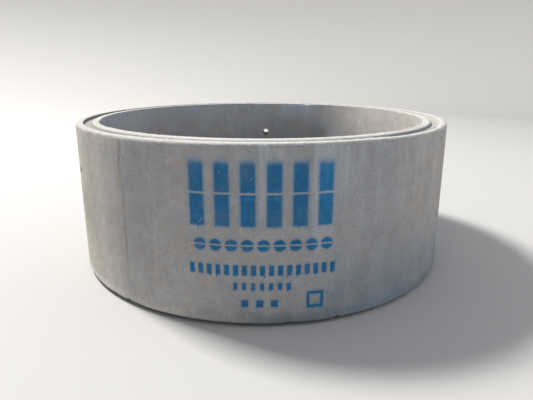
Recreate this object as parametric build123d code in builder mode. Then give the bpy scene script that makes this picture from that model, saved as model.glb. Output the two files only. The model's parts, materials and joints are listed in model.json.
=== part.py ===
from build123d import *
import os
from math import cos, radians, sin

# A precast concrete ring for a round chamber or shaft, cast in one piece.
# It stands upright on the tongue under its wall. The axis is +Z, the front
# of the ring is towards -Y, and Z = 0 is the tongue's lowest face.

# Driving dimensions, in millimetres

# Wall
inner_diameter = 1800
wall_thickness = 120
laid_height = 750  # from the shoulder under the wall to the top of the lips

# Groove in the top of the wall, which takes the tongue of the ring above. Its
# inner side leans more than its outer side, so that the mould's ring lifts out
inner_lip_width = 38.5
outer_lip_width = 36.5
groove_depth = 22
groove_inner_side_run = 9  # how far the side leans over the groove's depth
groove_outer_side_run = 3

# Room left round the tongue when two rings are stacked
joint_side_clearance = 4
joint_end_clearance = 4

# Edges and corners: the wall's top edges are rubbed round by hand, and the
# mould leaves a bevel on all the others
top_inner_edge_radius = 5
top_outer_edge_radius = 8
groove_inner_mouth_bevel = 4
groove_outer_mouth_bevel = 3
groove_corner_bevel = 4
shoulder_edge_bevel = 4
tongue_root_bevel = 3
tongue_edge_bevel = 4

# Lifting holes, level and straight through the wall
lifting_hole_diameter = 48
lifting_hole_height = 525  # above the shoulder
lifting_hole_angles = (88, 208)  # degrees from +X, a third of a turn apart

# Sizes that follow from these

inner_radius = inner_diameter / 2
outer_radius = inner_radius + wall_thickness
groove_mouth_inner_radius = inner_radius + inner_lip_width
groove_mouth_outer_radius = outer_radius - outer_lip_width
groove_floor_inner_radius = groove_mouth_inner_radius + groove_inner_side_run
groove_floor_outer_radius = groove_mouth_outer_radius - groove_outer_side_run

# The tongue is the groove's counterpart, and its sides lean with the groove's
tongue_height = groove_depth - joint_end_clearance
tongue_share = tongue_height / groove_depth
tongue_root_inner_radius = groove_mouth_inner_radius + joint_side_clearance
tongue_root_outer_radius = groove_mouth_outer_radius - joint_side_clearance
tongue_tip_inner_radius = tongue_root_inner_radius + groove_inner_side_run * tongue_share
tongue_tip_outer_radius = tongue_root_outer_radius - groove_outer_side_run * tongue_share

tip_z = 0
shoulder_z = tongue_height
lip_z = shoulder_z + laid_height
groove_floor_z = lip_z - groove_depth
lifting_hole_z = shoulder_z + lifting_hole_height

# How far the cut for a hole reaches past each face of the wall
cut_margin = 20

# The section's corners at the height of the lips, from the inside outwards
inner_edge, inner_mouth, outer_mouth, outer_edge = range(4)


def corners_at(sketch, height):
    """The sketch's corners at one height, from the inside of the ring outwards."""
    level = sketch.vertices().filter_by_position(Axis.Y, height - 0.01, height + 0.01)
    return level.sort_by(Axis.X)


def outermost(corners):
    """The first and the last of a row of corners."""
    return [corners[0], corners[-1]]


with BuildPart() as culvert_ring:
    # The wall's section, at its real distance from the axis
    with BuildSketch(Plane.XZ) as wall_section:
        with BuildLine():
            Polyline(
                (tongue_tip_inner_radius, tip_z),
                (tongue_tip_outer_radius, tip_z),
                (tongue_root_outer_radius, shoulder_z),
                (outer_radius, shoulder_z),
                (outer_radius, lip_z),
                (groove_mouth_outer_radius, lip_z),
                (groove_floor_outer_radius, groove_floor_z),
                (groove_floor_inner_radius, groove_floor_z),
                (groove_mouth_inner_radius, lip_z),
                (inner_radius, lip_z),
                (inner_radius, shoulder_z),
                (tongue_root_inner_radius, shoulder_z),
                close=True,
            )
        make_face()
        # A corner that is rounded or bevelled leaves one corner at the same
        # height, so the corners keep their order from line to line
        chamfer(corners_at(wall_section, lip_z)[inner_mouth], groove_inner_mouth_bevel)
        chamfer(corners_at(wall_section, lip_z)[outer_mouth], groove_outer_mouth_bevel)
        fillet(corners_at(wall_section, lip_z)[inner_edge], top_inner_edge_radius)
        fillet(corners_at(wall_section, lip_z)[outer_edge], top_outer_edge_radius)
        chamfer(corners_at(wall_section, groove_floor_z), groove_corner_bevel)
        chamfer(corners_at(wall_section, shoulder_z)[1:-1], tongue_root_bevel)
        chamfer(outermost(corners_at(wall_section, shoulder_z)), shoulder_edge_bevel)
        chamfer(corners_at(wall_section, tip_z), tongue_edge_bevel)
    revolve(axis=Axis.Z)

    # Each lifting hole is cut from inside the ring outwards, so that it goes
    # through one side of the wall only
    for angle in lifting_hole_angles:
        outwards = Vector(cos(radians(angle)), sin(radians(angle)), 0)
        start = outwards * (inner_radius - cut_margin) + Vector(0, 0, lifting_hole_z)
        with BuildSketch(Plane(origin=start, z_dir=outwards)):
            Circle(lifting_hole_diameter / 2)
        extrude(amount=wall_thickness + 2 * cut_margin, mode=Mode.SUBTRACT)

culvert_ring.part.label = "culvert_ring"

os.makedirs("parts", exist_ok=True)
export_step(culvert_ring.part, "parts/culvert_ring.step")
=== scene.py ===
# %% [markdown]
# # A precast concrete ring
# The object is one casting: a short, wide pipe that stands on its end, with a groove
# in its top edge, a tongue under its wall and two lifting holes. The CAD model gives
# its exact size. This lesson makes the weathered casting that stands in its place:
# one surface with worn edges, and one material with everything that time, the mould
# and a spray can have left on it, and some painted light and shade besides.

# %% Load the measured frame
import json
from math import atan2, cos, pi, radians, sin

import bpy
import numpy as np
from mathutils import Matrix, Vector


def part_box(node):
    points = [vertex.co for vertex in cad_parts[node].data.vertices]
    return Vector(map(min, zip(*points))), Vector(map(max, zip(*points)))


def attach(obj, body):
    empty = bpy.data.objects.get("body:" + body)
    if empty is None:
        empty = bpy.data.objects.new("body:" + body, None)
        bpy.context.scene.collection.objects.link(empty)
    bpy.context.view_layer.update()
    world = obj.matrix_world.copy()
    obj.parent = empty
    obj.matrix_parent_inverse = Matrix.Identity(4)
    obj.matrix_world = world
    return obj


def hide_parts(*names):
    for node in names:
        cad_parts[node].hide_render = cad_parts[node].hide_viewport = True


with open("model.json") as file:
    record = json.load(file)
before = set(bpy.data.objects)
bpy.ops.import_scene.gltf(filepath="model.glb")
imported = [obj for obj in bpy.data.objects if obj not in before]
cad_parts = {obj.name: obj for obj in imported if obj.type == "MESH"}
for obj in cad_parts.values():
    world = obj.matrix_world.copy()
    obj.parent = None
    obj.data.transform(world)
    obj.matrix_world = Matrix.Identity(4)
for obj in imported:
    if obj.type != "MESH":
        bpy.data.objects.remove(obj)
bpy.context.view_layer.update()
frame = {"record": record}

# %% [markdown]
# ## The sizes that everything else follows
# The outside sizes come from the CAD solid. The bore and the lifting holes come from
# the record, which lists them as mounts. Only the joint's own sizes are written here,
# in metres, because the record gives them in words. A few millimetres of dried slurry
# lie in the groove, so its floor is that much higher than the mould left it.

# %% Sizes
ring_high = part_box("culvert_ring")[1]
mounts = {mount["name"]: mount for mount in frame["record"]["mounts"]}

OUTER_RADIUS = ring_high.x
INNER_RADIUS = mounts["inside_bore"]["dims"]["r_mm"] / 1000
LIP_Z = ring_high.z
SHOULDER_Z = mounts["lower_shoulder"]["pos_m"][2]

GROOVE_DEPTH = 0.022
INNER_LIP = 0.0385
OUTER_LIP = 0.0365
INNER_SIDE_RUN = 0.009
OUTER_SIDE_RUN = 0.003
JOINT_ROOM = 0.004
SLURRY = 0.005
SHARE_LEFT = 1 - SLURRY / GROOVE_DEPTH
GROOVE_FLOOR_Z = LIP_Z - GROOVE_DEPTH + SLURRY
MOUTH_IN = INNER_RADIUS + INNER_LIP
MOUTH_OUT = OUTER_RADIUS - OUTER_LIP
FLOOR_IN = MOUTH_IN + INNER_SIDE_RUN * SHARE_LEFT
FLOOR_OUT = MOUTH_OUT - OUTER_SIDE_RUN * SHARE_LEFT
TIP_SHARE = SHOULDER_Z / GROOVE_DEPTH

print("radii", round(INNER_RADIUS, 4), round(OUTER_RADIUS, 4), "top", round(LIP_Z, 4))

# %% [markdown]
# ## The camera
# The picture is taken from a metre above the ground, a little over one and a half
# metres in front of the wall. A camera is easiest to place when its numbers are real
# ones: how far it stands from the ring's axis, how high its lens is, how far down it
# looks. The small shift stands for an uneven crop of the original frame.

# %% Camera
CAMERA_DISTANCE = 2.641
CAMERA_HEIGHT = 1.037
CAMERA_LENS_MM = 29.98
SENSOR_WIDTH_MM = 36
LOOK_DOWN = 14.16
LOOK_RIGHT = 0.38
CAMERA_SHIFT = (0.0032, -0.0375)

camera_data = bpy.data.cameras.new("photo_camera")
camera_data.lens = CAMERA_LENS_MM
camera_data.sensor_width = SENSOR_WIDTH_MM
camera_data.shift_x, camera_data.shift_y = CAMERA_SHIFT
camera = bpy.data.objects.new("photo_camera", camera_data)
camera.location = (0, -CAMERA_DISTANCE, CAMERA_HEIGHT)
camera.rotation_euler = (radians(90 - LOOK_DOWN), 0, radians(-LOOK_RIGHT))
bpy.context.collection.objects.link(camera)
bpy.context.scene.camera = camera

# %% [markdown]
# ## The section of the wall
# A cast ring is a turned shape: one section carried round an axis. The section is a
# closed outline of straight runs joined by small arcs. Writing the corners and one
# radius for each keeps the joint readable, and the arcs are worked out from them.
# Every straight run gets its own number of rows, because a long plain wall needs few
# and an edge that will be worn needs many.

# %% The corners of the section, from the inside bottom edge outwards and round
CORNERS = np.array([
    (INNER_RADIUS, SHOULDER_Z),
    (MOUTH_IN + JOINT_ROOM, SHOULDER_Z),
    (MOUTH_IN + JOINT_ROOM + TIP_SHARE * INNER_SIDE_RUN, 0),
    (MOUTH_OUT - JOINT_ROOM - TIP_SHARE * OUTER_SIDE_RUN, 0),
    (MOUTH_OUT - JOINT_ROOM, SHOULDER_Z),
    (OUTER_RADIUS, SHOULDER_Z),
    (OUTER_RADIUS, LIP_Z),
    (MOUTH_OUT, LIP_Z),
    (FLOOR_OUT, GROOVE_FLOOR_Z),
    (FLOOR_IN, GROOVE_FLOOR_Z),
    (MOUTH_IN, LIP_Z),
    (INNER_RADIUS, LIP_Z),
])
CORNER_RADII = [0.004, 0.003, 0.004, 0.004, 0.003, 0.004,
                0.008, 0.002, 0.006, 0.005, 0.014, 0.002]
ARC_STEPS = [2, 1, 2, 2, 1, 3, 5, 3, 3, 2, 5, 5]
# rows on the run that leaves each corner
RUN_STEPS = [2, 1, 2, 1, 2, 0, 3, 2, 3, 2, 3, 0]


def corner_arc(before, corner, after, radius, steps):
    """The arc that rounds a corner: centre + radius (cos t, sin t) between the points
    where a circle of that radius touches the two runs."""
    back = (before - corner) / np.linalg.norm(before - corner)
    ahead = (after - corner) / np.linalg.norm(after - corner)
    half_angle = np.arccos(np.clip(back @ ahead, -1, 1)) / 2
    reach = radius / np.tan(half_angle)
    middle = (back + ahead) / np.linalg.norm(back + ahead)
    centre = corner + middle * radius / np.sin(half_angle)
    first = corner + back * reach - centre
    last = corner + ahead * reach - centre
    start = atan2(first[1], first[0])
    turn = (atan2(last[1], last[0]) - start + pi) % (2 * pi) - pi
    t = start + turn * np.linspace(0, 1, steps + 1)
    return centre + radius * np.stack([np.cos(t), np.sin(t)], 1)


# %% [markdown]
# The two long walls share one list of heights. They need extra rows in a band round
# the lifting holes, where the holes' own mesh will be joined in, and a few close to
# the top and bottom edges, which are worn.

# %% Rows up the walls
HOLES = [mounts["lifting_hole_back"], mounts["lifting_hole_left"]]
HOLE_RADIUS = HOLES[0]["dims"]["r_mm"] / 1000
HOLE_Z = HOLES[0]["pos_m"][2]
HOLE_BAND = 0.037
HOLE_ROWS = 5
LEAST_WALL_HEIGHT = 0.5

band = HOLE_Z + np.linspace(-HOLE_BAND, HOLE_BAND, HOLE_ROWS)
above_shoulder = SHOULDER_Z + np.array([0.010, 0.022, 0.060, 0.200, 0.400])
below_lip = LIP_Z - np.array([0.060, 0.022, 0.012])
WALL_HEIGHTS = np.concatenate([above_shoulder, band, below_lip])
print(len(WALL_HEIGHTS), "rows up each wall")


def section_outline():
    """The whole closed outline as points (radius, z), with the walls' rows among them."""
    points = []
    count = len(CORNERS)
    for i in range(count):
        after = CORNERS[(i + 1) % count]
        arc = corner_arc(CORNERS[i - 1], CORNERS[i], after, CORNER_RADII[i], ARC_STEPS[i])
        points.extend(arc)
        if abs(after[1] - CORNERS[i][1]) > LEAST_WALL_HEIGHT:
            heights = WALL_HEIGHTS if after[1] > CORNERS[i][1] else WALL_HEIGHTS[::-1]
            points.extend((CORNERS[i][0], z) for z in heights)
        else:
            next_arc = corner_arc(CORNERS[i], after, CORNERS[(i + 2) % count],
                                  CORNER_RADII[(i + 1) % count], 1)
            share = np.linspace(0, 1, RUN_STEPS[i] + 1)[1:-1, None]
            points.extend(arc[-1] + (next_arc[0] - arc[-1]) * share)
    return np.array(points)


section = section_outline()
print(len(section), "points round the section")


# %% [markdown]
# ## Random wear that closes on itself
# Worn edges, chips and the slight waviness of a mould are all noise, but noise on a
# ring has to meet itself after a full turn. A seeded random number is set at each of
# some equal steps round the ring, and a cosine ramp joins each number to the next.
# The same steps are used up the section for the waviness of a surface.


# %% Noise round the ring
def cosine_ramp(share):
    """(1 - cos(pi t)) / 2: rises from 0 to 1 with level ends."""
    return (1 - np.cos(pi * share)) / 2


def ring_noise(angle, cells, seed):
    """Smooth random values from 0 to 1, one bump about every 2 pi / cells radians."""
    values = np.random.default_rng(seed).random(cells)
    place = angle / (2 * pi) * cells
    first = np.floor(place).astype(int)
    share = cosine_ramp(place - first)
    return values[first % cells] * (1 - share) + values[(first + 1) % cells] * share


def wall_noise(angle, along, cells, cell_length, seed):
    """Smooth random values from 0 to 1 on the grid (along the section, round the ring):
    two rows of ring noise at the cell lines below and above, joined by the same ramp."""
    place = along / cell_length
    first = np.floor(place).astype(int)
    rows = np.stack([ring_noise(angle, cells, seed + i) for i in range(first.max() + 2)])
    share = cosine_ramp(place - first)[:, None]
    return rows[first] * (1 - share) + rows[first + 1] * share


def bites(angle, cells, seed, rarity):
    """Chips: the part of the noise that rises above rarity, stretched to 0..1."""
    return np.clip(ring_noise(angle, cells, seed) - rarity, 0, None) / (1 - rarity)


# %% [markdown]
# ## The worn casting
# The surface is a function of two parameters: how far along the section, and how far
# round the ring. Its point is the section's point turned round the axis, moved inwards
# along the section's own normal by the wear there. Wear only ever takes material away,
# so the casting stays inside its measured size. Each edge has its own wear: the two
# edges of the top and the bottom edge of the outside are handled most, and the groove's
# edges are crumbly because they were stripped from the mould first.

# %% The section's normals and the place of each edge
COLUMNS = 1188
first_angle = atan2(HOLES[0]["axis"][1], HOLES[0]["axis"][0])
angles = first_angle + 2 * pi * np.arange(COLUMNS) / COLUMNS

ahead = np.roll(section, -1, axis=0)
behind = np.roll(section, 1, axis=0)
tangent = ahead - behind
tangent /= np.linalg.norm(tangent, axis=1)[:, None]
normal = np.stack([tangent[:, 1], -tangent[:, 0]], 1)
step = np.linalg.norm(np.diff(section, axis=0), axis=1)
along = np.concatenate([[0], np.cumsum(step)])


def near_corner(index, width):
    """1 at a corner of the section, falling to 0 as exp(-(distance / width)^2)."""
    distance = np.linalg.norm(section - CORNERS[index], axis=1)
    return np.exp(-(distance / width) ** 2)[:, None]


# %% Wear, in metres, on the grid (section point, column)
BOTTOM_OUTSIDE, TOP_OUTSIDE, GROOVE_OUTER, GROOVE_INNER, TOP_INSIDE = 5, 6, 7, 10, 11

# cells round the ring, length of a cell along the section, seed
MOULD_WAVES = (46, 0.21, 11)
HAND_MARKS = (420, 0.012, 71)
WAVE_DEPTH = 0.0004
LEAST_WEAR = 0.0001

mould_waves = WAVE_DEPTH * wall_noise(angles, along, *MOULD_WAVES)
hand_finish = WAVE_DEPTH * wall_noise(angles, along, *HAND_MARKS)
on_top = np.clip((section[:, 1] - GROOVE_FLOOR_Z + 0.001) / 0.004, 0, 1)[:, None]
wear = LEAST_WEAR + mould_waves + hand_finish * on_top

# edge, reach of the wear, fine crumbling, chips: how many places, how rare, how deep
EDGE_WEAR = [
    (TOP_OUTSIDE, 0.0080, 0.0022, 260, 0.72, 0.0050),
    (TOP_INSIDE, 0.0035, 0.0006, 200, 0.78, 0.0035),
    (GROOVE_OUTER, 0.0035, 0.0007, 260, 0.72, 0.0030),
    (GROOVE_INNER, 0.0050, 0.0014, 260, 0.66, 0.0040),
    (BOTTOM_OUTSIDE, 0.0080, 0.0016, 150, 0.76, 0.0060),
]
# edge, degrees from the front towards the right, half width, reach, depth: the wide
# ones are stretches that slings have bevelled, and the others are single knocks
KNOCKS = [
    (TOP_OUTSIDE, -24, 0.32, 0.012, 0.0035),
    (TOP_OUTSIDE, 62, 0.26, 0.012, 0.0030),
    (TOP_OUTSIDE, 59.6, 0.012, 0.009, 0.0070),
    (TOP_OUTSIDE, 53.7, 0.009, 0.009, 0.0060),
    (TOP_OUTSIDE, -177.6, 0.014, 0.009, 0.0070),
    (TOP_INSIDE, 170, 0.230, 0.009, 0.0040),
    (TOP_INSIDE, -63, 0.160, 0.009, 0.0040),
    (GROOVE_OUTER, 36, 0.070, 0.008, 0.0040),
    (BOTTOM_OUTSIDE, -36.3, 0.010, 0.009, 0.0070),
]
CRUMB_CELLS = 700
CHIP_CELLS = 900
for edge, reach, crumble, places, rarity, depth in EDGE_WEAR:
    seed = 500 + 20 * edge
    fine = crumble * ring_noise(angles, CRUMB_CELLS, seed)
    chips = depth * bites(angles, places, seed + 1, rarity)
    chips = chips * (0.4 + 0.6 * ring_noise(angles, CHIP_CELLS, seed + 2))
    wear = wear + near_corner(edge, reach) * (fine + chips)


def stretch(degrees_round, half_width):
    """1 over a stretch of the rim and 0 elsewhere, with soft ends."""
    turn = (angles - radians(degrees_round - 90) + pi) % (2 * pi) - pi
    return np.exp(-(turn * OUTER_RADIUS / half_width) ** 4)


for edge, degrees_round, half_width, reach, depth in KNOCKS:
    wear = wear + near_corner(edge, reach) * depth * stretch(degrees_round, half_width)

# the outer lip is worn down a little at the front right: degrees, half width, depth
LIP_WEAR_AT, LIP_WEAR_WIDE, LIP_WEAR = 44, 0.26, 0.0032
on_outer_lip = (section[:, 1] > LIP_Z - 0.004) & (section[:, 0] > MOUTH_OUT - 0.002)
wear = wear + on_outer_lip[:, None] * LIP_WEAR * stretch(LIP_WEAR_AT, LIP_WEAR_WIDE)

print("deepest wear", round(float(wear.max()) * 1000, 1), "mm")


# %% The grid of points
def grid_points(radius, height, angle):
    """A grid of points (radius cos angle, radius sin angle, height) round the axis."""
    return np.stack([radius * np.cos(angle), radius * np.sin(angle), height + 0 * angle], 2)


def grid_faces(rows, columns):
    """The four corners of each face of such a grid, as places in the list of its points.
    The last column joins the first one again, and so does the last row."""
    row, column = np.meshgrid(np.arange(rows), np.arange(columns), indexing="ij")
    next_row, next_column = (row + 1) % rows, (column + 1) % columns
    return np.stack([
        row * columns + column,
        row * columns + next_column,
        next_row * columns + next_column,
        next_row * columns + column,
    ], 2)


worn = section[:, None, :] - normal[:, None, :] * wear[:, :, None]
points = grid_points(worn[:, :, 0], worn[:, :, 1], angles)
ROWS = len(section)
print("grid", ROWS, "x", COLUMNS)

# %% [markdown]
# ## Cutting the lifting holes without a Boolean
# A hole through a grid is cleanest when the grid itself turns into the hole. A square
# window of faces is left out of each wall, and a stack of loops joins the two windows:
# the outer window's edge, loops that grow rounder towards the mouth of the hole, the
# bore through the wall, and the same back out to the inner window. Every loop has as
# many points as the window's edge, at the same angles round the hole's axis. A thin crust
# of dried slurry lines each bore, as it does the groove.

# %% Windows in the grid
HALF_WINDOW = 7


def wall_rows(radius):
    """The rows of the grid in the holes' band, on the wall of that radius, lowest first."""
    on_wall = np.abs(section[:, 0] - radius) < 1e-6
    in_band = np.abs(section[:, 1] - HOLE_Z) < HOLE_BAND + 1e-6
    rows = np.flatnonzero(on_wall & in_band)
    return rows[np.argsort(section[rows, 1])]


def window_edge(rows, column):
    """Grid indices of the window's edge, anticlockwise as seen from outside the ring."""
    across = (column + np.arange(-HALF_WINDOW, HALF_WINDOW + 1)) % COLUMNS
    low = rows[0] * COLUMNS + across
    right = rows[1:] * COLUMNS + across[-1]
    high = rows[-1] * COLUMNS + across[-2::-1]
    left = rows[-2:0:-1] * COLUMNS + across[0]
    return np.concatenate([low, right, high, left])


outer_rows = wall_rows(OUTER_RADIUS)
inner_rows = wall_rows(INNER_RADIUS)
print("window rows", len(outer_rows), len(inner_rows))

# %% Loops from window to window
MOUTH_ROUND = 0.001
MOUTH_CHIP = 0.0015
CHIPS_ROUND_MOUTH = 9
SHOULDER_SHARE = 0.3
CRUST_TOP = 0.0015
CRUST_BOTTOM = 0.0040
BORE_LOOPS = 5


def hole_directions(hole):
    """Outwards along the hole's axis, and level across it."""
    axis = np.array(hole["axis"])
    return axis, np.array([-axis[1], axis[0], 0.0])


def on_wall(across, up, radius, hole, out_by):
    """Points in space for points (across, up) of the plane that faces the hole, laid on
    the cylinder of that radius: depth = sqrt(radius^2 - across^2) along the hole's axis."""
    axis, side = hole_directions(hole)
    depth = np.sqrt(radius ** 2 - across ** 2) + out_by
    flat = depth[:, None] * axis + across[:, None] * side
    return flat + np.stack([0 * up, 0 * up, HOLE_Z + up], 1)


def mouth_loops(edge_points, radius, hole, inward, seed):
    """Four loops between a window's edge and the bore: half way to the mouth, the
    mouth's chipped rim, its rounded shoulder, and the bore just under the surface. The
    bore's crust is top + (bottom - top) (1 - sin t) / 2 thick, so it is thickest below."""
    across = edge_points @ hole_directions(hole)[1]
    up = edge_points[:, 2] - HOLE_Z
    sunk = radius - np.hypot(edge_points[:, 0], edge_points[:, 1])
    turn = np.arctan2(up, across)
    chipped = MOUTH_ROUND + MOUTH_CHIP * ring_noise(turn, CHIPS_ROUND_MOUTH, seed) ** 2
    rim = HOLE_RADIUS + chipped
    crust = CRUST_TOP + (CRUST_BOTTOM - CRUST_TOP) * (1 - np.sin(turn)) / 2
    half_lined = HOLE_RADIUS + SHOULDER_SHARE * chipped - 0.5 * crust

    def loop(size, out_by):
        """A round loop of that size, laid on the wall."""
        return on_wall(size * np.cos(turn), size * np.sin(turn), radius, hole, out_by)

    half_across = (across + rim * np.cos(turn)) / 2
    half_up = (up + rim * np.sin(turn)) / 2
    half = on_wall(half_across, half_up, radius, hole, -sunk)
    edge = loop(rim, -sunk)
    shoulder = loop(half_lined, -inward * chipped * SHOULDER_SHARE)
    bore = loop(HOLE_RADIUS - crust, -inward * chipped)
    return [half, edge, shoulder, bore]


# %% Faces of the grid, without the windows
quads = grid_faces(ROWS, COLUMNS)
keep = np.ones((ROWS, COLUMNS), bool)

all_points = [points.reshape(-1, 3)]
all_quads = []
point_count = ROWS * COLUMNS
for number, hole in enumerate(HOLES):
    hole_angle = atan2(hole["axis"][1], hole["axis"][0])
    column = round((hole_angle - first_angle) % (2 * pi) / (2 * pi) * COLUMNS) % COLUMNS
    columns = (column + np.arange(-HALF_WINDOW, HALF_WINDOW)) % COLUMNS
    keep[np.ix_(np.sort(outer_rows)[:-1], columns)] = False
    keep[np.ix_(np.sort(inner_rows)[:-1], columns)] = False

    outer_edge = window_edge(outer_rows, column)
    inner_edge = window_edge(inner_rows, column)
    outside = mouth_loops(all_points[0][outer_edge], OUTER_RADIUS, hole, 1, 900 + number)
    inside = mouth_loops(all_points[0][inner_edge], INNER_RADIUS, hole, -1, 950 + number)
    share = np.linspace(0, 1, BORE_LOOPS + 2)[1:-1]
    bore = [outside[-1] * (1 - s) + inside[-1] * s for s in share]
    loops = outside + bore + inside[::-1]

    new_index = point_count + np.arange(len(loops) * len(outer_edge))
    point_count += len(new_index)
    all_points.extend(loops)
    stack = np.vstack([outer_edge, new_index.reshape(len(loops), -1), inner_edge])
    turned = np.roll(stack, -1, axis=1)
    all_quads.append(np.stack([stack[:-1], turned[:-1], turned[1:], stack[1:]], 2))
    print(hole["name"], "column", column, "loops", len(loops))

all_quads.append(quads[keep])
vertices = np.concatenate(all_points)
faces = np.concatenate([q.reshape(-1, 4) for q in all_quads])

# %% [markdown]
# The grid points inside the windows are no longer used, so they are dropped and the
# rest are numbered again before the arrays go into one mesh.

# %% Into a mesh
used = np.zeros(len(vertices), bool)
used[faces.ravel()] = True
vertices = vertices[used]
faces = (np.cumsum(used) - 1)[faces]

ring_mesh = bpy.data.meshes.new("concrete_ring")
ring_mesh.vertices.add(len(vertices))
ring_mesh.vertices.foreach_set("co", vertices.ravel())
ring_mesh.loops.add(faces.size)
ring_mesh.loops.foreach_set("vertex_index", faces.ravel())
ring_mesh.polygons.add(len(faces))
ring_mesh.polygons.foreach_set("loop_start", np.arange(0, faces.size, 4))
ring_mesh.polygons.foreach_set("use_smooth", np.ones(len(faces), bool))
ring_mesh.update()
ring_mesh.validate()

concrete_ring = bpy.data.objects.new("concrete_ring", ring_mesh)
bpy.context.collection.objects.link(concrete_ring)
print("triangles", 2 * len(faces))

# %% [markdown]
# ## A short way to write shader nodes
# A weathered surface needs hundreds of nodes, and most of them are small sums. The
# class below adds one node for each call and returns its output, so that a recipe
# reads like a formula. Numbers go straight into the node's own sockets.


# %% Recipe writer
class Recipe:
    """Adds nodes to a material. Every method but finished returns an output socket."""

    def __init__(self, name):
        self.material = bpy.data.materials.new(name)
        self.material.use_nodes = True
        self.tree = self.material.node_tree
        self.tree.nodes.clear()

    def add(self, kind, inputs, output=0, **settings):
        made = self.tree.nodes.new(kind)
        for setting, value in settings.items():
            setattr(made, setting, value)
        for key, value in inputs.items():
            if isinstance(value, bpy.types.NodeSocket):
                self.tree.links.new(value, made.inputs[key])
            else:
                made.inputs[key].default_value = value
        return made.outputs[output]

    def math(self, operation, a, b=0.0, c=0.0):
        return self.add("ShaderNodeMath", {0: a, 1: b, 2: c}, operation=operation)

    def plus(self, a, b):
        return self.math("ADD", a, b)

    def minus(self, a, b):
        return self.math("SUBTRACT", a, b)

    def times(self, *factors):
        result = factors[0]
        for factor in factors[1:]:
            result = self.math("MULTIPLY", result, factor)
        return result

    def squares(self, a, b):
        """a squared plus b squared."""
        return self.plus(self.times(a, a), self.times(b, b))

    def largest(self, *layers):
        """The largest of several layers at each point."""
        result = layers[0]
        for layer in layers[1:]:
            result = self.math("MAXIMUM", result, layer)
        return result

    def ramp(self, value, low, high, start=0.0, end=1.0):
        """start below low, end above high, and a smooth step between."""
        inputs = {"Value": value, 1: low, 2: high, 3: start, 4: end}
        return self.add("ShaderNodeMapRange", inputs, interpolation_type="SMOOTHSTEP")

    def fade(self, value, low, high):
        """1 below low, 0 above high, and a smooth step between."""
        return self.ramp(value, low, high, 1.0, 0.0)

    def noise(self, vector, scale, detail=3.0, roughness=0.55, output="Fac"):
        inputs = {"Vector": vector, "Scale": scale, "Detail": detail, "Roughness": roughness}
        return self.add("ShaderNodeTexNoise", inputs, output)

    def vector(self, x, y, z):
        return self.add("ShaderNodeCombineXYZ", {0: x, 1: y, 2: z})

    def stretched(self, vector, x, y, z):
        inputs = {"Vector": vector, "Scale": (x, y, z)}
        return self.add("ShaderNodeMapping", inputs)

    def blend(self, share, a, b):
        """Colour a with share of colour b laid over it."""
        made = self.tree.nodes.new("ShaderNodeMix")
        made.data_type = "RGBA"
        made.clamp_factor = True
        sockets = {s.identifier: s for s in made.inputs}
        for key, value in (("Factor_Float", share), ("A_Color", a), ("B_Color", b)):
            if isinstance(value, bpy.types.NodeSocket):
                self.tree.links.new(value, sockets[key])
            elif key == "Factor_Float":
                sockets[key].default_value = value
            else:
                sockets[key].default_value = (*value, 1.0)
        return next(s for s in made.outputs if s.identifier == "Result_Color")

    def layered(self, colour, layers):
        """Each (share, colour) of a list laid over the colours before it."""
        for share, over in layers:
            colour = self.blend(share, colour, over)
        return colour

    def shade(self, colour, amount):
        """The colour made lighter or darker: colour times amount."""
        return self.add("ShaderNodeVectorMath", {0: colour, "Scale": amount}, operation="SCALE")

    def toned(self, colour, layer, change):
        """colour (1 + change layer): lighter where the layer is, or darker below 0."""
        return self.shade(colour, self.math("MULTIPLY_ADD", layer, change, 1.0))

    def shaded_by(self, colour, layer, strength):
        """colour (1 + strength (2 layer - 1)): noise around 1/2 leaves the mean alone."""
        amount = self.math("MULTIPLY_ADD", layer, 2 * strength, 1.0 - strength)
        return self.shade(colour, amount)

    def speckled(self, colour, grains, strength):
        """Colour times (1 + strength (2 grains - 1)) for each of red, green and blue, so
        that a coloured noise tints the colour without changing its mean."""
        tint = self.add("ShaderNodeVectorMath", {
            0: grains, 1: (2 * strength,) * 3, 2: (1 - strength,) * 3,
        }, operation="MULTIPLY_ADD")
        return self.add("ShaderNodeVectorMath", {0: colour, 1: tint}, operation="MULTIPLY")

    def warmed_by(self, colour, layer, strength):
        """Warmer where the layer is above 1/2 and cooler below it: red times 1 + s and
        blue times 1 - s, with s = strength (2 layer - 1)."""
        shift = self.math("MULTIPLY_ADD", layer, 2 * strength, -strength)
        tint = self.vector(self.plus(shift, 1.0), 1.0, self.minus(1.0, shift))
        return self.add("ShaderNodeVectorMath", {0: colour, 1: tint}, operation="MULTIPLY")

    def sway(self, value, layer, amount):
        """The value pushed both ways by a layer of noise: value + amount (layer - 1/2)."""
        return self.math("MULTIPLY_ADD", layer, amount, self.minus(value, amount / 2))

    def band(self, value, low, high, soft):
        """1 between low and high and 0 outside, each edge soft by that much either way."""
        rise = self.ramp(value, low - soft, low + soft)
        return self.times(rise, self.fade(value, high - soft, high + soft))

    def apart(self, value, middle):
        """How far the value is from a middle: |value - middle|."""
        return self.math("ABSOLUTE", self.minus(value, middle))

    def to_nearest(self, value, first, pitch):
        """How far the value is from the nearest of first, first + pitch and so on."""
        return self.math("PINGPONG", self.minus(value, first), pitch / 2)

    def spots(self, vector, scale, size, share):
        """Small round spots scattered in space, about one in each cell of 1 / scale. Each
        spot has its own random number, and only that share of them is kept."""
        made = self.tree.nodes.new("ShaderNodeTexVoronoi")
        self.tree.links.new(vector, made.inputs["Vector"])
        made.inputs["Scale"].default_value = scale
        number = self.add("ShaderNodeSeparateXYZ", {0: made.outputs["Color"]})
        kept = self.math("LESS_THAN", number, share)
        return self.times(kept, self.fade(made.outputs["Distance"], size * 0.6, size))

    def finished(self, surface):
        """The material, with the surface linked to its output."""
        output = self.tree.nodes.new("ShaderNodeOutputMaterial")
        self.tree.links.new(surface, output.inputs["Surface"])
        return self.material


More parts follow.
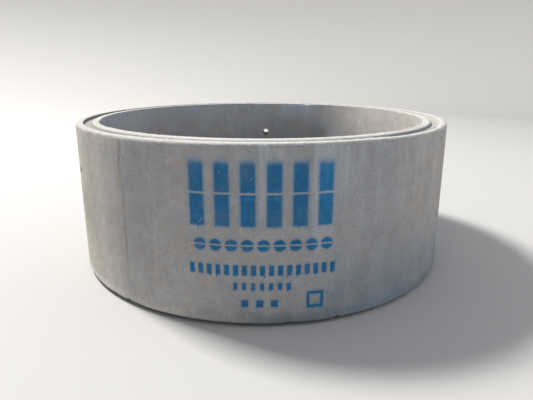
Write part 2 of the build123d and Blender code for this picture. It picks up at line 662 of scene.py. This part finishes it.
# %% [markdown]
# ## Where on the ring a point is
# Marks on a wall follow the wall: a drip runs straight down, and a sprayed block keeps
# its width round the curve. So the recipe first turns each point's place into a few
# numbers: its distance from the axis, how far round the outside it is from the front,
# and how high it is above the shoulder, all in metres. The way round has a seam at the
# back, so only small marks use it. Broad ones, such as a damp side, use x itself, which
# changes smoothly all round the ring.

# %% Coordinates
mix = Recipe("weathered_concrete")  # each call on it adds nodes to the material
place = mix.add("ShaderNodeTexCoord", {}, output="Object")
split = mix.tree.nodes.new("ShaderNodeSeparateXYZ")
mix.tree.links.new(place, split.inputs[0])
x, y, z = split.outputs

distance = mix.math("SQRT", mix.squares(x, y))
angle = mix.math("ARCTAN2", x, mix.times(y, -1.0))
around = mix.times(angle, OUTER_RADIUS)
up = mix.minus(z, SHOULDER_Z)

# %% [markdown]
# The layers of noise below are shared by all the marks. Round noise gives clouds,
# blotches and sand. Noise that is squeezed in z stretches upwards and gives the faint
# upright streaks that rain and the mould leave.

# %% Layers of noise
clouds = mix.noise(place, 2.1, 3.0, 0.5)
blotches = mix.noise(place, 9.0, 4.0, 0.6)
ragged = mix.noise(place, 55.0, 4.0, 0.65)
mottle = mix.noise(place, 26.0, 3.0, 0.6)
grain = mix.noise(place, 150.0, 3.0, 0.75)
rain = mix.noise(mix.stretched(place, 19.0, 19.0, 1.2), 1.0, 3.0, 0.6)
fine_rain = mix.noise(mix.stretched(place, 120.0, 120.0, 7.0), 1.0, 2.0, 0.6)
coloured_sand = mix.noise(place, 110.0, 3.0, 0.7, "Color")
warm_patches = mix.noise(mix.stretched(place, 1.0, 1.0, 0.8), 17.0, 4.0, 0.65)

# %% [markdown]
# ## Zones
# The two walls, the top and the groove have had different lives. The top was trowelled
# and then rubbed clean, so it is pale, and its pale colour ends in a ragged line about a
# centimetre down the outside and half as far down the inside. Rubbing never reached the
# groove's floor and sides.

# %% Zones of the section
# how far under a wall's surface its own colours are still full, and where they end
SKIN_FULL, SKIN_END = 0.003, 0.009
outside = mix.ramp(distance, OUTER_RADIUS - SKIN_END, OUTER_RADIUS - SKIN_FULL)
inside = mix.fade(distance, INNER_RADIUS + SKIN_FULL, INNER_RADIUS + SKIN_END)
between_walls = mix.minus(1.0, mix.largest(outside, inside))
rubbed_far = mix.plus(mix.band(x, -0.72, -0.22, 0.06), mix.ramp(x, 0.52, 0.65))
pale_depth = mix.math("MULTIPLY_ADD", outside, 0.0055, 0.0050)
pale_depth = mix.plus(pale_depth, mix.times(rubbed_far, outside, 0.0035))
back_right = mix.times(mix.ramp(y, 0.80, 0.88), mix.ramp(x, -0.20, -0.05))
pale_depth = mix.plus(pale_depth, mix.times(back_right, inside, 0.004))
ragged_height = mix.sway(mix.sway(z, ragged, 0.014), grain, 0.012)
above_end = mix.plus(mix.minus(ragged_height, LIP_Z), pale_depth)
top = mix.ramp(above_end, 0.0, 0.002)
white_rim = mix.times(mix.band(above_end, 0.0, 0.006, 0.002), mix.ramp(grain, 0.40, 0.60))
under_rim = mix.times(mix.band(above_end, -0.006, 0.0, 0.002), mix.ramp(ragged, 0.45, 0.65))
in_groove = mix.times(between_walls, mix.ramp(z, 0.5, 0.6))
groove_side = mix.times(in_groove, mix.fade(z, LIP_Z - 0.008, LIP_Z - 0.003))
groove_floor = mix.times(in_groove, mix.fade(z, LIP_Z - 0.0160, LIP_Z - 0.0135))

# %% [markdown]
# ## Bare concrete
# Concrete is never one grey. Broad clouds come from how the mix settled and dried. The
# left of the outside has dried warm and pale. The lower right is dark and a little blue:
# partly damp, and partly painted shade where the ring's own shadow keeps the ground's
# light off it. Each layer only shades the colour a little, because many weak layers look
# like stone and one strong layer looks like paint.

# %% Colours of the bare surface
OUTSIDE_PLAIN = (0.290, 0.283, 0.280)
OUTSIDE_COOL = (0.268, 0.274, 0.290)
OUTSIDE_WARM = (0.328, 0.305, 0.278)
OUTSIDE_BROWN = (0.255, 0.240, 0.215)
OUTSIDE_MOSS = (0.316, 0.310, 0.252)
# damp, and painted shade, low on the right of the outside
OUTSIDE_DAMP_SHADE = (0.184, 0.209, 0.240)
INSIDE_PLAIN = (0.258, 0.256, 0.257)
INSIDE_COOL = (0.227, 0.243, 0.270)
INSIDE_WARM = (0.300, 0.280, 0.255)
INSIDE_LIME = (0.290, 0.335, 0.405)
INSIDE_BLUE = (0.225, 0.262, 0.325)
LIP_CREAM = (0.305, 0.303, 0.296)
LIP_GREY = (0.250, 0.246, 0.238)
LIP_WHITE = (0.370, 0.368, 0.360)
LIP_BROWN = (0.180, 0.160, 0.132)
SIDE_BEIGE = (0.300, 0.288, 0.276)
# painted shade on the groove's sides
SIDE_SHADE = (0.150, 0.160, 0.185)
FLOOR_BEIGE = (0.262, 0.250, 0.238)

# %% Outside and inside walls
# outer and inner are the colours of the two walls, built up layer by layer
cloudy = mix.ramp(clouds, 0.38, 0.62)
patchy = mix.ramp(blotches, 0.35, 0.65)
cool_front = mix.times(mix.band(x, 0.10, 0.58, 0.08), mix.ramp(up, 0.25, 0.50))
cool_share = mix.largest(mix.times(cloudy, 0.7), mix.times(cool_front, 0.9))
dry_left = mix.fade(mix.sway(x, blotches, 0.22), -0.76, -0.48)
mossy_left = mix.ramp(mix.sway(x, mottle, 0.06), -0.88, -0.78, 0.55, 0.0)
stain = mix.times(mix.fade(x, -0.89, -0.76),
                  mix.band(mix.sway(up, blotches, 0.15), 0.26, 0.46, 0.07))
# darker and bluer low on the right: damp, and painted shade on the side the ring shadows
swayed_height = mix.sway(up, clouds, 0.30)
damp_and_shade_right = mix.times(mix.ramp(x, 0.20, 0.68), mix.fade(swayed_height, 0.03, 0.52))
warm_right = mix.times(mix.ramp(x, 0.52, 0.80), mix.ramp(up, 0.10, 0.35))
outer = mix.layered(mix.blend(cool_share, OUTSIDE_PLAIN, OUTSIDE_COOL), [
    (mix.times(dry_left, 0.8), OUTSIDE_WARM),
    (mossy_left, OUTSIDE_MOSS),
    (mix.times(stain, 0.7), OUTSIDE_BROWN),
    (mix.times(damp_and_shade_right, 0.7), OUTSIDE_DAMP_SHADE),
    (mix.times(warm_right, 0.5), OUTSIDE_WARM),
])
# lighter low on the left: dust, and painted light bounced up from the sunlit ground
dust_and_bounce_left = mix.times(mix.fade(mix.sway(up, blotches, 0.10), 0.08, 0.30),
                       mix.fade(x, -0.39, -0.15))
# a slightly darker upright band just right of the mould line: painted shadow beside the line
shade_beside_line = mix.times(mix.band(mix.sway(around, blotches, 0.08), -0.59, -0.49, 0.04),
                        mix.ramp(up, 0.28, 0.48))
before_line = mix.band(mix.sway(around, blotches, 0.08), -0.84, -0.66, 0.05)
for layer, change in [(dust_and_bounce_left, 0.12), (shade_beside_line, -0.06), (before_line, 0.10)]:
    outer = mix.toned(outer, layer, change)

inner = mix.blend(patchy, INSIDE_PLAIN, INSIDE_COOL)
# warmer and paler towards the right of the inside: painted sunlight where the key lamp shines
# in
sunny_right = mix.ramp(x, 0.45, 0.80)
inner = mix.blend(mix.times(sunny_right, 0.8), inner, INSIDE_WARM)
at_the_back = mix.ramp(y, 0.0, 0.1)
# paler still on the back right of the inside: painted sunlight
painted_sunlight_right = mix.times(mix.band(x, 0.58, 0.79, 0.06), at_the_back)
# a darker patch low on the back right of the inside: painted shadow at the edge of the sunlit
# part
painted_shadow_patch = mix.times(mix.band(mix.sway(x, blotches, 0.06), 0.38, 0.50, 0.05),
                       mix.band(mix.sway(up, blotches, 0.10), 0.42, 0.59, 0.09), at_the_back)
for layer, change in [(painted_sunlight_right, 0.16), (painted_shadow_patch, -0.26)]:
    inner = mix.toned(inner, layer, change)
blue_top = mix.times(mix.ramp(x, -0.10, 0.30, 0.26, 0.0), mix.ramp(up, 0.58, 0.72))
lime_inside = mix.times(mix.band(mix.sway(x, blotches, 0.10), 0.14, 0.38, 0.07),
                        mix.ramp(up, 0.56, 0.74), at_the_back)
inner = mix.layered(inner, [
    (blue_top, INSIDE_BLUE),
    (mix.times(lime_inside, 0.9), INSIDE_LIME),
])
moss_inside = mix.times(mix.band(mix.sway(x, blotches, 0.10), -0.80, -0.48, 0.07),
                        mix.ramp(up, 0.68, 0.74, 1.0, 0.6), at_the_back)
inner = mix.toned(inner, moss_inside, -0.09)
# up to a fifth darker lower down inside: painted shade where less light reaches deep in the
# ring
painted_shade_height = mix.sway(up, clouds, 0.2)
inner = mix.shade(inner, mix.ramp(painted_shade_height, 0.45, 0.75, 0.80, 1.04))

LAYERS = [(blotches, 0.20), (mottle, 0.16), (rain, 0.09), (fine_rain, 0.07), (grain, 0.34)]
for layer, strength in LAYERS:
    outer = mix.shaded_by(outer, layer, strength)
    inner = mix.shaded_by(inner, layer, strength)
outer = mix.warmed_by(outer, warm_patches, 0.13)
left_grain = mix.math("MULTIPLY_ADD", mix.times(dry_left, 0.30), mix.minus(grain, 0.5), 1.0)
outer = mix.shade(outer, left_grain)
outer = mix.speckled(outer, coloured_sand, 0.12)
inner = mix.speckled(inner, coloured_sand, 0.10)

# %% Top and groove
lip_colour = mix.blend(mix.ramp(ragged, 0.45, 0.75), LIP_CREAM, LIP_GREY)
lip_colour = mix.shaded_by(lip_colour, grain, 0.22)
lip_colour = mix.blend(white_rim, lip_colour, LIP_WHITE)
# the top is up to 15% darker towards the left: painted shade against the key lamp, which lights
# the left of the top most
lip_colour = mix.shade(lip_colour, mix.ramp(x, -0.85, -0.10, 0.85, 1.0))
crumbly = mix.times(mix.fade(distance, MOUTH_IN - 0.018, MOUTH_IN - 0.004),
                    mix.band(x, 0.55, 0.80, 0.05), mix.fade(y, -0.48, -0.38))
crumbly = mix.times(crumbly, mix.ramp(ragged, 0.40, 0.60, 0.25, 0.75))
lip_colour = mix.blend(crumbly, lip_colour, LIP_BROWN)
# the groove's sides that face away from the key lamp are dark and blue: painted shade on the
# inner lip's outer face at the right and the outer lip's inner face at the left
outer_side = mix.ramp(distance, MOUTH_OUT - 0.010, MOUTH_OUT - 0.006)
painted_shade_side = mix.plus(mix.times(mix.ramp(x, 0.10, 0.70), mix.minus(1.0, outer_side)),
                     mix.times(mix.fade(x, -0.90, -0.20), outer_side))
side_colour = mix.blend(painted_shade_side, SIDE_BEIGE, SIDE_SHADE)
side_colour = mix.shaded_by(side_colour, grain, 0.25)
floor_colour = mix.shaded_by(mix.blend(patchy, FLOOR_BEIGE, LIP_GREY), grain, 0.25)
# the groove's sides and floor are darker on the left: painted shade deep in the groove
painted_shade_left = mix.fade(x, -0.62, -0.28)
side_colour = mix.toned(side_colour, painted_shade_left, -0.34)
floor_colour = mix.toned(floor_colour, painted_shade_left, -0.30)

# %% [markdown]
# ## What time has left on the outside
# Water that runs over the top edge carries lime with it and leaves pale bluish washes,
# which start at the rim and fade on the way down. One wavy brown line marks where the
# mould's two halves met. The bottom edge is dark with damp soil, and where the casting
# was dragged it is scraped pale.

# %% Washes, mould line and bottom edge
# left end, right end, where it fades out and where it is full, strength
WASHES = [
    (-0.010, 0.034, 0.44, 0.72, 0.60),
    (0.050, 0.088, 0.40, 0.68, 0.25),
    (0.104, 0.128, 0.50, 0.72, 0.30),
    (0.200, 0.292, 0.20, 0.62, 0.85),
    (0.292, 0.350, 0.44, 0.72, 0.55),
]
wash_side = mix.sway(mix.sway(around, rain, 0.020), mottle, 0.010)
wash_height = mix.sway(mix.sway(up, rain, 0.25), fine_rain, 0.30)
curtain = mix.times(mix.ramp(rain, 0.45, 0.70), mix.ramp(wash_height, 0.50, 0.78),
                    mix.plus(mix.ramp(x, 0.18, 0.34), mix.ramp(x, -0.82, -0.57, 0.6, 0.2)),
                    mix.ramp(x, 0.45, 0.70, 0.42, 0.22))
combed = mix.times(mix.ramp(fine_rain, 0.52, 0.72), mix.ramp(wash_height, 0.52, 0.80),
                   mix.plus(mix.ramp(x, 0.22, 0.40), mix.fade(x, -0.82, -0.40)), outside)
splashes = [
    mix.times(mix.band(wash_side, left, right, 0.009),
              mix.ramp(wash_height, gone, full), strength)
    for left, right, gone, full, strength in WASHES
]
# two blobs of lime right under the rim: middle (around, up) and radius
BLOBS = [(0.000, 0.736, 0.022), (0.071, 0.712, 0.018)]
for blob_side, blob_up, radius in BLOBS:
    across = mix.minus(wash_side, blob_side)
    rise = mix.minus(mix.sway(up, mottle, 0.012), blob_up)
    blob = mix.fade(mix.squares(across, rise), 0.0, radius ** 2)
    splashes.append(mix.times(blob, 0.75))
streaky = mix.ramp(fine_rain, 0.30, 0.65, 0.40, 1.0)
washed = mix.times(mix.largest(curtain, *splashes), streaky, outside)

MOULD_LINE = -0.628
line_wave = mix.sway(mix.sway(around, mix.noise(place, 7.0, 3.0), 0.05), mottle, 0.014)
line_side = mix.apart(line_wave, MOULD_LINE)
line_strength = mix.times(mix.fade(line_side, 0.002, 0.013), outside,
                          mix.ramp(up, 0.05, 0.35, 0.2, 1.0),
                          mix.ramp(blotches, 0.35, 0.60, 0.55, 1.0))

soil_height = mix.sway(mix.sway(up, blotches, 0.05), rain, 0.05)
soil = mix.times(mix.fade(soil_height, 0.002, 0.078), outside,
                 mix.ramp(x, -0.41, 0.10, 0.10, 1.0), mix.ramp(x, 0.55, 0.75, 1.0, 0.6))
scrape_height = mix.sway(mix.sway(up, fine_rain, 0.15), mottle, 0.04)
scrape = mix.times(mix.fade(scrape_height, 0.025, 0.042), outside,
                   mix.ramp(x, -0.41, -0.25, 1.0, 0.35), mix.fade(x, -0.10, 0.02))
# a row of small smears of lime, low on the front: where the first is, and how far apart
FIRST_SMEAR, SMEAR_PITCH = -0.029, 0.081
smear_side = mix.to_nearest(mix.sway(around, ragged, 0.006), FIRST_SMEAR, SMEAR_PITCH)
smear = mix.times(mix.fade(smear_side, 0.012, 0.020), mix.band(around, -0.05, 0.15, 0.001),
                  mix.band(mix.sway(up, grain, 0.010), 0.058, 0.062, 0.002), outside)
blue_patch = mix.times(mix.band(mix.sway(around, mottle, 0.03), 0.357, 0.460, 0.008),
                       mix.band(mix.sway(up, mottle, 0.02), 0.013, 0.036, 0.004), outside)

# %% [markdown]
# ## Sprayed marks
# A works sprays its marks through a stencil, and here they are a plain pattern of bars,
# dots and dashes in blue. A sprayed mark is a distance to the nearest block's middle,
# compared with half the block's width. PINGPONG gives that distance for a whole row at
# once. The edge is soft where the can was far away, and a fine mist lies round every
# block. At the lower edge the paint has run a little.

# %% Rows of blocks
# middle of the first block, pitch, how many, half width, bottom, top, softness of the top
BLOCKS = [
    (-0.258, 0.102, 6, 0.031, 0.420, 0.690, 0.030),
    (-0.286, 0.036, 17, 0.011, 0.215, 0.262, 0.006),
    (-0.108, 0.036, 7, 0.009, 0.152, 0.186, 0.006),
    (-0.070, 0.060, 3, 0.015, 0.076, 0.110, 0.006),
    (0.218, 0.100, 1, 0.036, 0.064, 0.140, 0.006),
]
# middle of the first dot, pitch, how many, height of their middles, radius
FIRST_DOT, DOT_PITCH, DOTS, DOTS_UP, DOT_RADIUS = -0.250, 0.064, 9, 0.343, 0.026
# level gaps under the stencil's bridges: bottom, top, softness
BRIDGES = [(0.550, 0.558, 0.003), (0.340, 0.346, 0.002)]
# middle of the square frame's opening (around, up)
FRAME_SIDE, FRAME_UP = 0.218, 0.102

paint_side = mix.sway(around, ragged, 0.008)
run = mix.ramp(fine_rain, 0.55, 0.75, 0.0, 0.016)
paint_height = mix.sway(up, ragged, 0.007)
paint_foot = mix.plus(paint_height, run)


def row_length(first, pitch, count):
    """1 from half a pitch before the first middle to half a pitch past the last."""
    return mix.band(paint_side, first - pitch / 2, first + pitch * (count - 0.5), 0.001)


def row_of_blocks(first, pitch, count, half_width, low, high, top_soft, spread):
    """1 on the blocks of a row and 0 between them; spread softens all the edges."""
    from_middle = mix.to_nearest(paint_side, first, pitch)
    blocks = mix.fade(from_middle, half_width - spread, half_width + spread)
    length = row_length(first, pitch, count)
    foot = mix.ramp(paint_foot, low - spread, low + spread)
    head = mix.fade(paint_height, high - top_soft, high + spread)
    return mix.times(blocks, length, foot, head)


def row_of_dots(spread):
    """1 on a row of round dots: the distance from a dot's middle is a square root."""
    across = mix.to_nearest(paint_side, FIRST_DOT, DOT_PITCH)
    rise = mix.minus(paint_height, DOTS_UP)
    from_middle = mix.math("SQRT", mix.squares(across, rise))
    dots = mix.fade(from_middle, DOT_RADIUS - spread, DOT_RADIUS + spread)
    return mix.times(dots, row_length(FIRST_DOT, DOT_PITCH, DOTS))


def all_rows(tall_spread, dot_spread, small_spread):
    """1 on every block and dot, with its own spread for the tall bars, dots and dashes."""
    return mix.largest(row_of_blocks(*BLOCKS[0], tall_spread), row_of_dots(dot_spread),
                       *[row_of_blocks(*row, small_spread) for row in BLOCKS[1:]])


core = all_rows(0.008, 0.005, 0.0035)
mist = all_rows(0.022, 0.016, 0.010)
bridge = mix.largest(*[mix.band(paint_height, *gap) for gap in BRIDGES])
square_side = mix.largest(mix.apart(paint_side, FRAME_SIDE), mix.apart(paint_height, FRAME_UP))
square_middle = mix.fade(square_side, 0.021, 0.026)
core = mix.times(core, mix.minus(1.0, mix.largest(bridge, square_middle)))
mist = mix.times(mist, mix.ramp(grain, 0.35, 0.60, 0.20, 0.60),
                 mix.ramp(bridge, 0.0, 1.0, 1.0, 0.5),
                 mix.ramp(square_side, 0.012, 0.024, 0.0, 1.0))

# %% [markdown]
# ## Pores and scratches
# Air bubbles that sat against the mould leave small dark pores all over, and slings and
# forks leave short pale scratches, which show best in the paint.

# %% Pores and scratches
pores = mix.spots(place, 52.0, 0.12, 0.42)
pin_pores = mix.spots(place, 120.0, 0.18, 0.26)
paint_pores = mix.times(mix.spots(place, 64.0, 0.16, 0.30), core)
pores = mix.largest(pores, paint_pores, mix.times(pin_pores, 0.7))

# middle (around, up), length, turn from upright in degrees
SCRATCHES = [
    (-0.245, 0.441, 0.026, -40), (-0.165, 0.636, 0.010, -30), (-0.040, 0.612, 0.012, -35),
    (0.115, 0.655, 0.010, -25), (0.390, 0.530, 0.016, 8),
]


def stroke(middle_side, middle_up, length, turn):
    """1 on a short straight scratch, found by turning the wall's own coordinates."""
    across = mix.minus(around, middle_side)
    rise = mix.minus(up, middle_up)
    c, s = cos(radians(turn)), sin(radians(turn))
    lengthways = mix.plus(mix.times(across, -s), mix.times(rise, c))
    sideways = mix.plus(mix.times(across, c), mix.times(rise, s))
    thin = mix.fade(mix.apart(sideways, 0.0), 0.0003, 0.0018)
    return mix.times(thin, mix.band(lengthways, -length / 2, length / 2, 0.004))


scratched = mix.times(mix.largest(*[stroke(*scratch) for scratch in SCRATCHES]), outside, 0.8)
rubbed = mix.ramp(grain, 0.66, 0.78, 0.0, 0.5)

# %% Put the layers together
WASH = (0.355, 0.380, 0.412)
LINE_BROWN = (0.200, 0.165, 0.145)
SOIL = (0.082, 0.121, 0.160)
BLUE_GREY = (0.100, 0.140, 0.180)
SOFT_BLUE = (0.168, 0.212, 0.258)
SCRAPED = (0.430, 0.410, 0.385)
PORE = (0.060, 0.055, 0.052)
HOLE_DARK = (0.020, 0.020, 0.022)
DRIP_DARK = (0.060, 0.062, 0.068)
PAINT_DEEP = (0.004, 0.098, 0.228)
PAINT_WASHED = (0.008, 0.160, 0.350)

blue_blotches = mix.times(mix.ramp(mottle, 0.42, 0.60, 0.35, 0.85), outside,
                          mix.ramp(x, 0.12, 0.32), mix.ramp(x, 0.40, 0.80, 1.0, 0.20),
                          mix.fade(swayed_height, 0.10, 0.34))
soft_blue = mix.shaded_by(mix.shaded_by(SOFT_BLUE, grain, 0.34), blotches, 0.30)
outer = mix.layered(outer, [
    (mix.times(combed, 0.30), OUTSIDE_BROWN),
    (washed, WASH),
    (mix.times(line_strength, 0.55), LINE_BROWN),
    (mix.times(soil, 0.60), SOIL),
    (mix.times(blue_patch, 0.5), BLUE_GREY),
    (blue_blotches, soft_blue),
    (mix.times(scrape, 0.80), SCRAPED),
])
dusty_foot = mix.times(mix.fade(mix.sway(up, fine_rain, 0.04), 0.020, 0.055),
                       mix.fade(x, -0.68, -0.58))
outer = mix.toned(outer, dusty_foot, 0.20)
outer = mix.blend(mix.times(smear, 0.50), outer, WASH)

paint = mix.times(mix.largest(core, mist), outside)
paint = mix.times(paint, mix.ramp(blotches, 0.30, 0.55, 0.88, 1.0),
                  mix.ramp(mottle, 0.30, 0.50, 0.93, 1.0),
                  mix.minus(1.0, rubbed), mix.minus(1.0, scratched))
thin_coat = mix.largest(washed, mix.ramp(core, 0.3, 1.0, 0.7, 0.0),
                        mix.ramp(mottle, 0.50, 0.66, 0.0, 0.45))
paint_colour = mix.blend(thin_coat, PAINT_DEEP, PAINT_WASHED)
paint_colour = mix.shaded_by(paint_colour, grain, 0.25)
outer = mix.layered(outer, [(scratched, SCRAPED), (paint, paint_colour)])

colour = mix.toned(mix.blend(outside, inner, outer), under_rim, -0.16)
colour = mix.layered(colour, [
    (mix.largest(top, in_groove), lip_colour),
    (groove_side, side_colour),
    (groove_floor, floor_colour),
    (mix.times(pores, 0.80), PORE),
])

# %% [markdown]
# ## Inside the lifting holes
# A lifting hole is never washed by rain and stays dark with old oil and shadow. Below
# the hole in the back a dark drip has run down the inside.

# %% Holes and drip
bore = mix.times(mix.ramp(distance, INNER_RADIUS + 0.001, INNER_RADIUS + 0.004),
                 mix.fade(distance, OUTER_RADIUS - 0.006, OUTER_RADIUS - 0.002),
                 mix.band(z, HOLE_Z - 0.04, HOLE_Z + 0.04, 0.005))
drip_axis = HOLES[0]["axis"]
drip_side = mix.sway(mix.minus(mix.times(x, drip_axis[1]),
                               mix.times(y, drip_axis[0])), ragged, 0.008)
drip = mix.times(mix.fade(mix.apart(drip_side, 0.0), 0.002, 0.012), at_the_back, inside,
                 mix.ramp(z, HOLE_Z - 0.11, HOLE_Z - 0.03), mix.fade(z, HOLE_Z - 0.02, HOLE_Z))
colour = mix.layered(colour, [(bore, HOLE_DARK), (mix.times(drip, 0.6), DRIP_DARK)])

# %% [markdown]
# ## Roughness and relief
# Concrete is dull everywhere and paint fills its finest pits, so the paint is a little
# smoother. The relief repeats what the colour shows: sand grains stand up, pores go in.

# %% Shader
BARE_ROUGHNESS = 0.90
PAINT_ROUGHNESS = 0.68
SAND_HEIGHT = 0.0012
LUMP_HEIGHT = 0.0015
PORE_DEPTH = 0.0025

rough = mix.math("MULTIPLY_ADD", paint, PAINT_ROUGHNESS - BARE_ROUGHNESS, BARE_ROUGHNESS)
height = mix.plus(mix.times(grain, SAND_HEIGHT), mix.times(ragged, LUMP_HEIGHT))
height = mix.minus(height, mix.times(pores, PORE_DEPTH))
bump = mix.add("ShaderNodeBump", {"Strength": 0.8, "Distance": 1.0, "Height": height})
surface = mix.add("ShaderNodeBsdfPrincipled", {
    "Base Color": colour, "Roughness": rough, "Specular IOR Level": 0.3, "Normal": bump,
})
print(len(mix.tree.nodes), "nodes")

concrete_ring.data.materials.append(mix.finished(surface))
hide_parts("culvert_ring")
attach(concrete_ring, "root")

# %% [markdown]
# ## Floor and light
# The floor is a plain pale one that curves up into a plain wall all round, as in a photo
# studio, so that no view has a hard horizon. A sky of even light fills every shadow, and
# one soft lamp stands high on the left, a little behind the ring, so that the top edge
# and the right of the inside are the brightest places. A weak one on the right lifts the
# side that it leaves in shade.

# %% Floor and backdrop
FLOOR_RADIUS = 9.0
BEND_RADIUS = 3.0
BACKDROP_HEIGHT = 4.2
FLOOR_STEPS = 96
FLOOR_GREY = (0.31, 0.31, 0.31, 1.0)

bend = np.linspace(-pi / 2, 0, 13)
backdrop_profile = np.concatenate([
    [(0.001, 0.0), (FLOOR_RADIUS, 0.0)],
    np.stack([FLOOR_RADIUS + BEND_RADIUS * np.cos(bend),
              BEND_RADIUS + BEND_RADIUS * np.sin(bend)], 1)[1:],
    [(FLOOR_RADIUS + BEND_RADIUS, BACKDROP_HEIGHT)],
])
floor_radius, floor_height = backdrop_profile[:, 0, None], backdrop_profile[:, 1, None]
floor_angles = 2 * pi * np.arange(FLOOR_STEPS) / FLOOR_STEPS
floor_points = grid_points(floor_radius, floor_height, floor_angles).reshape(-1, 3)
# its last row doesn't join the first one
floor_quads = grid_faces(len(backdrop_profile), FLOOR_STEPS)[:-1].reshape(-1, 4)
floor_mesh = bpy.data.meshes.new("floor")
floor_mesh.from_pydata(floor_points.tolist(), [], floor_quads.tolist())
floor_mesh.shade_smooth()
floor = bpy.data.objects.new("floor", floor_mesh)
bpy.context.collection.objects.link(floor)
floor_paint = Recipe("pale_floor")
floor_surface = floor_paint.add("ShaderNodeBsdfPrincipled", {
    "Base Color": FLOOR_GREY, "Roughness": 0.9,
})
floor_mesh.materials.append(floor_paint.finished(floor_surface))

# %% Sky and lamps
SKY_COLOUR = (0.93, 0.96, 1.0, 1.0)
SKY_STRENGTH = 0.82
# name, azimuth, elevation, distance, size, power, colour
LAMPS = [
    ("key", -119.5, 55, 16.0, 2.8, 6200, (1.0, 0.96, 0.90)),
    ("fill", 80, 25, 8.0, 4.0, 150, (0.98, 0.97, 1.0)),
]

world = bpy.data.worlds.new("studio")
world.use_nodes = True
sky = world.node_tree.nodes["Background"]
sky.inputs["Color"].default_value = SKY_COLOUR
sky.inputs["Strength"].default_value = SKY_STRENGTH
bpy.context.scene.world = world


def lamp(name, azimuth, elevation, distance, size, power, tint):
    """A square area lamp that faces the ring. Azimuth is counted from the front (-Y)
    towards the right (+X), and elevation up from the floor, both in degrees."""
    around, up = radians(azimuth), radians(elevation)
    direction = Vector((sin(around) * cos(up), -cos(around) * cos(up), sin(up)))
    data = bpy.data.lights.new(name, "AREA")
    data.size = size
    data.energy = power
    data.color = tint
    made = bpy.data.objects.new(name, data)
    made.location = direction * distance + Vector((0, 0, LIP_Z / 2))
    made.rotation_euler = (-direction).to_track_quat("-Z", "Y").to_euler()
    bpy.context.collection.objects.link(made)


for settings in LAMPS:
    lamp(*settings)

bpy.context.scene.view_settings.view_transform = "Standard"
